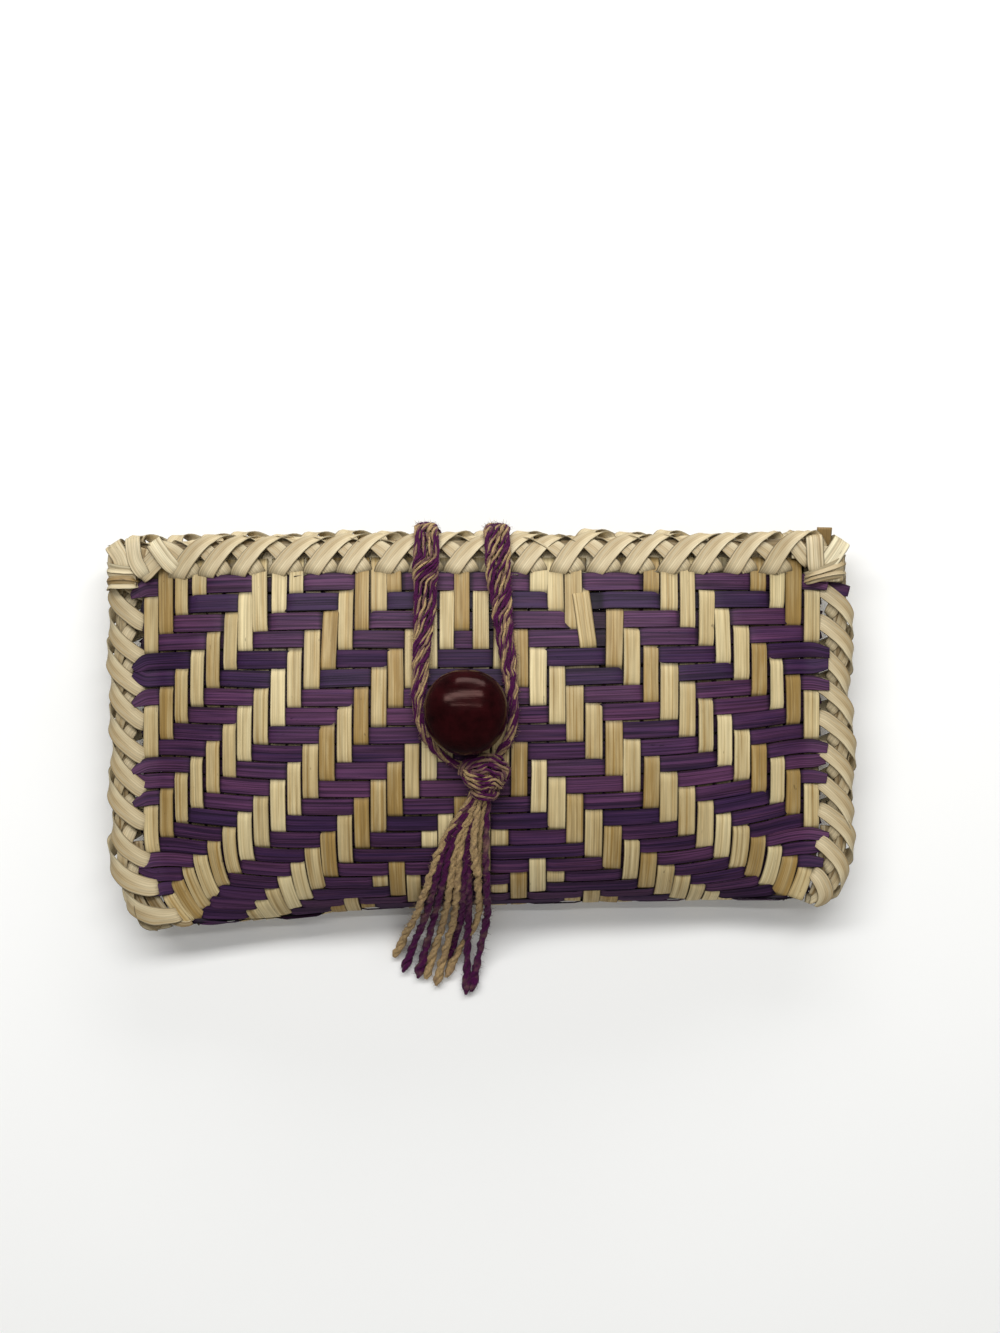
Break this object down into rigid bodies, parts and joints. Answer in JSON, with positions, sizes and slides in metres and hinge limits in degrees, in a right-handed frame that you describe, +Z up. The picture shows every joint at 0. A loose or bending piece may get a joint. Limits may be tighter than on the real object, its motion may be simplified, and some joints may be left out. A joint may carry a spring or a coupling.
{
  "type": "straw clutch bag",
  "caption": "Woven straw clutch with a chevron weave in purple and natural strips, plaited edges, a dark seed button, a twisted cord loop and a yarn tassel",
  "frame": {"origin": "on the flat underside of the back wall, on which the bag lies", "axes": "+Z up out of the front wall, +Y towards the mouth, +X to the right as the front is seen"},
  "size_m": [0.2652, 0.1716, 0.0634],
  "materials": {
    "woven_straw": "dyed and natural palm strips in a twill weave, satin",
    "natural_straw": "undyed plaited palm strips, satin",
    "dark_seed": "polished dark oxblood seed",
    "yarn": "twisted purple and tan yarn, matt and fibrous"
  },
  "bodies": {
    "root": {"bag_body": "woven_straw", "rim_front": "natural_straw", "rim_back": "natural_straw", "side_lashing_left": "natural_straw", "side_lashing_right": "natural_straw", "corner_wrap_left": "natural_straw", "corner_wrap_right": "natural_straw", "seed_button": "dark_seed", "seed_shank": "yarn", "loop_cord_left": "yarn", "loop_cord_right": "yarn", "tassel": "yarn"}
  },
  "joints": []
}
